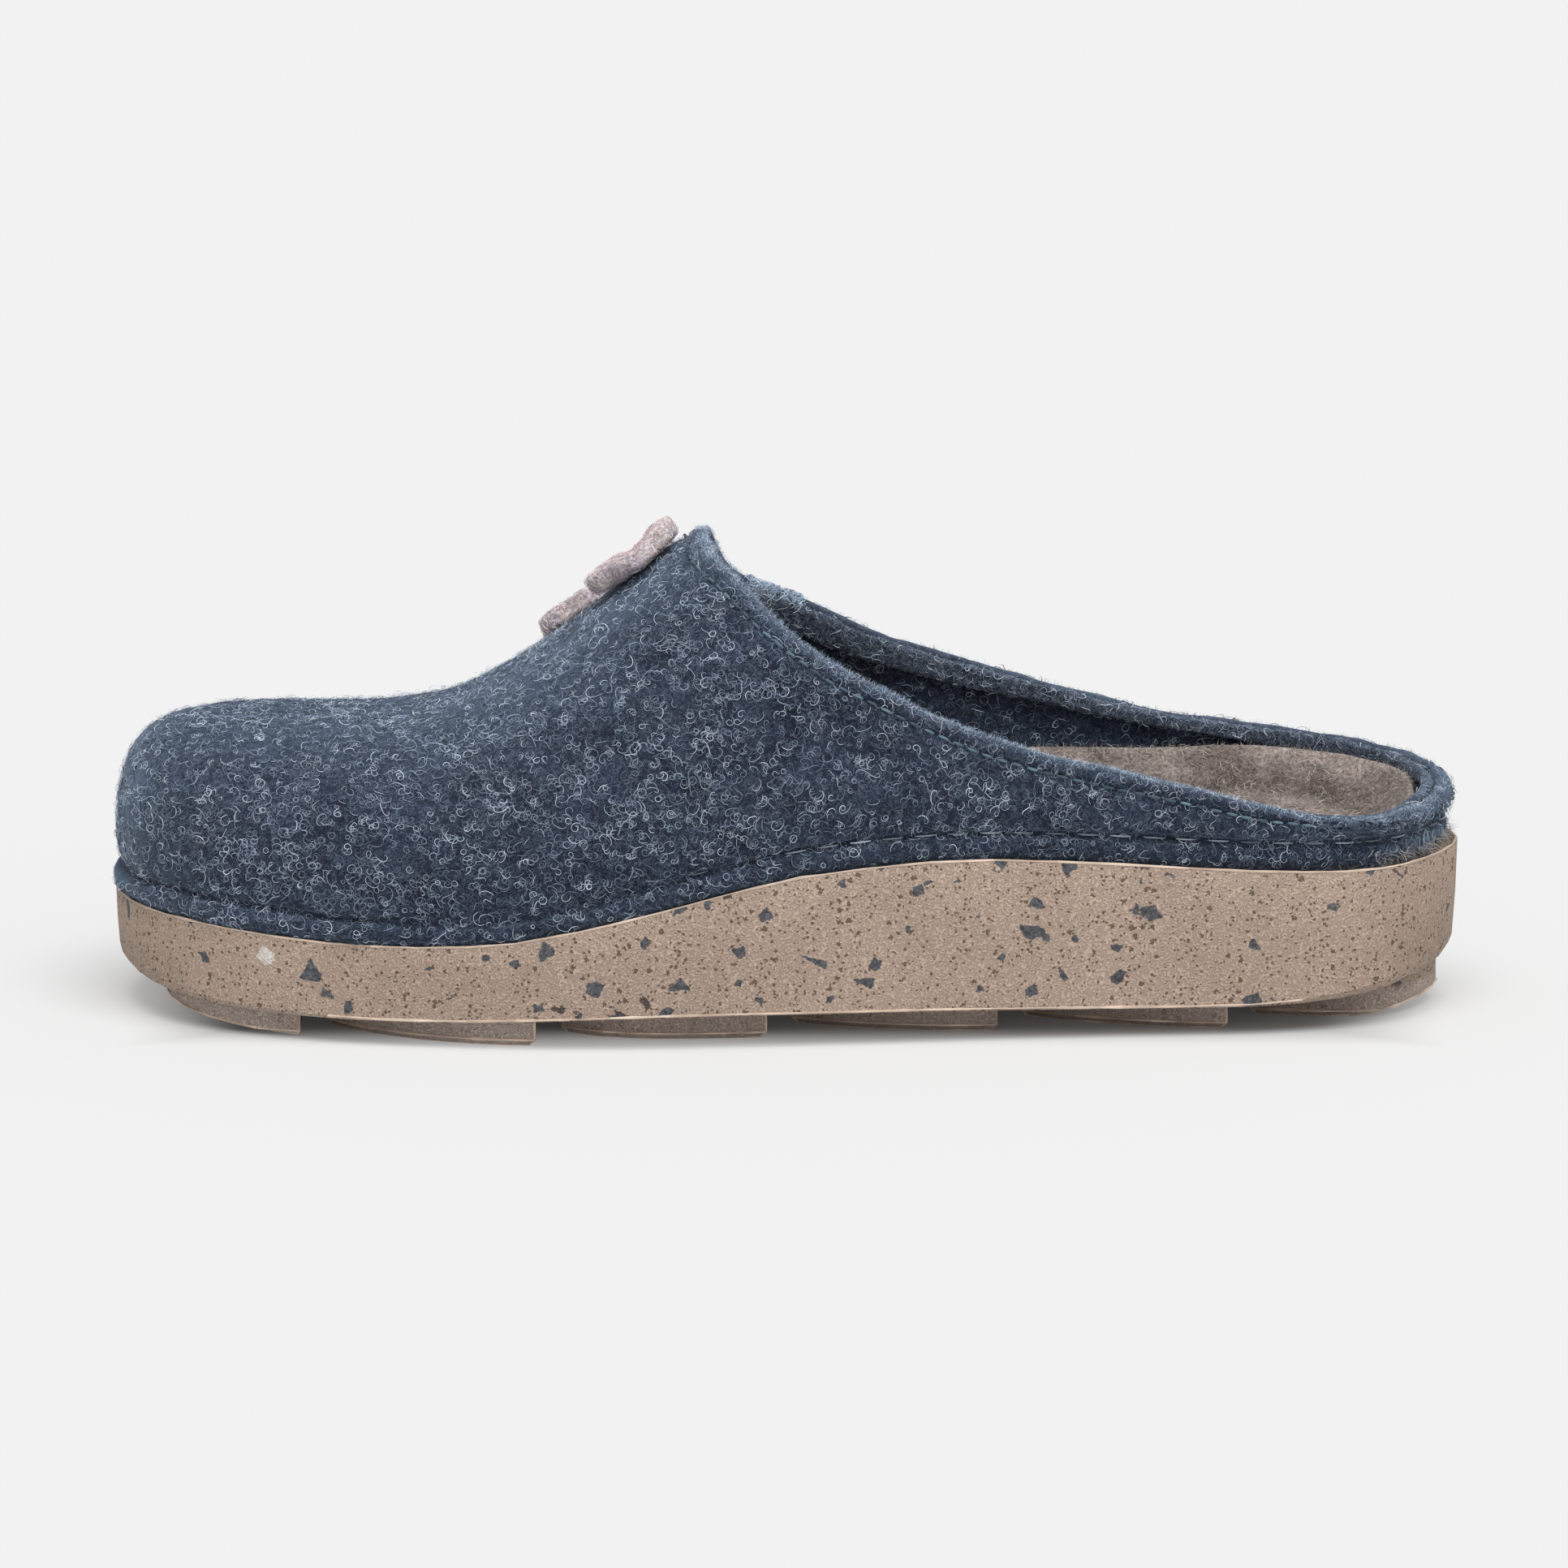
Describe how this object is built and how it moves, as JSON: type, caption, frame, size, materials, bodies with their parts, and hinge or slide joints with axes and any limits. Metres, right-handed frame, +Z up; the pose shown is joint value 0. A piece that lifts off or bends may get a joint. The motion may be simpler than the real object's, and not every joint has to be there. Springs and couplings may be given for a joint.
{
  "type": "clog slipper",
  "caption": "Open-backed felt clog slipper with a thick moulded sole, a cupped footbed, tread lugs and felt blossoms on the instep.",
  "frame": {"origin": "on the floor, under the middle of the shoe's bounding box", "axes": "+X from the toe to the heel, +Y towards the inner side of the foot, +Z up"},
  "size_m": [0.259, 0.0978, 0.0941],
  "materials": {
    "navy_felt": "felted wool",
    "facing_felt": "felted wool",
    "footbed_felt": "felted wool",
    "tan_foam": "matt moulded foam",
    "rose_felt": "felted wool"
  },
  "bodies": {
    "root": {"upper": "navy_felt", "collar_facing": "facing_felt", "insole": "footbed_felt", "outsole": "tan_foam", "blossom_large": "rose_felt", "blossom_small": "rose_felt"}
  },
  "joints": []
}
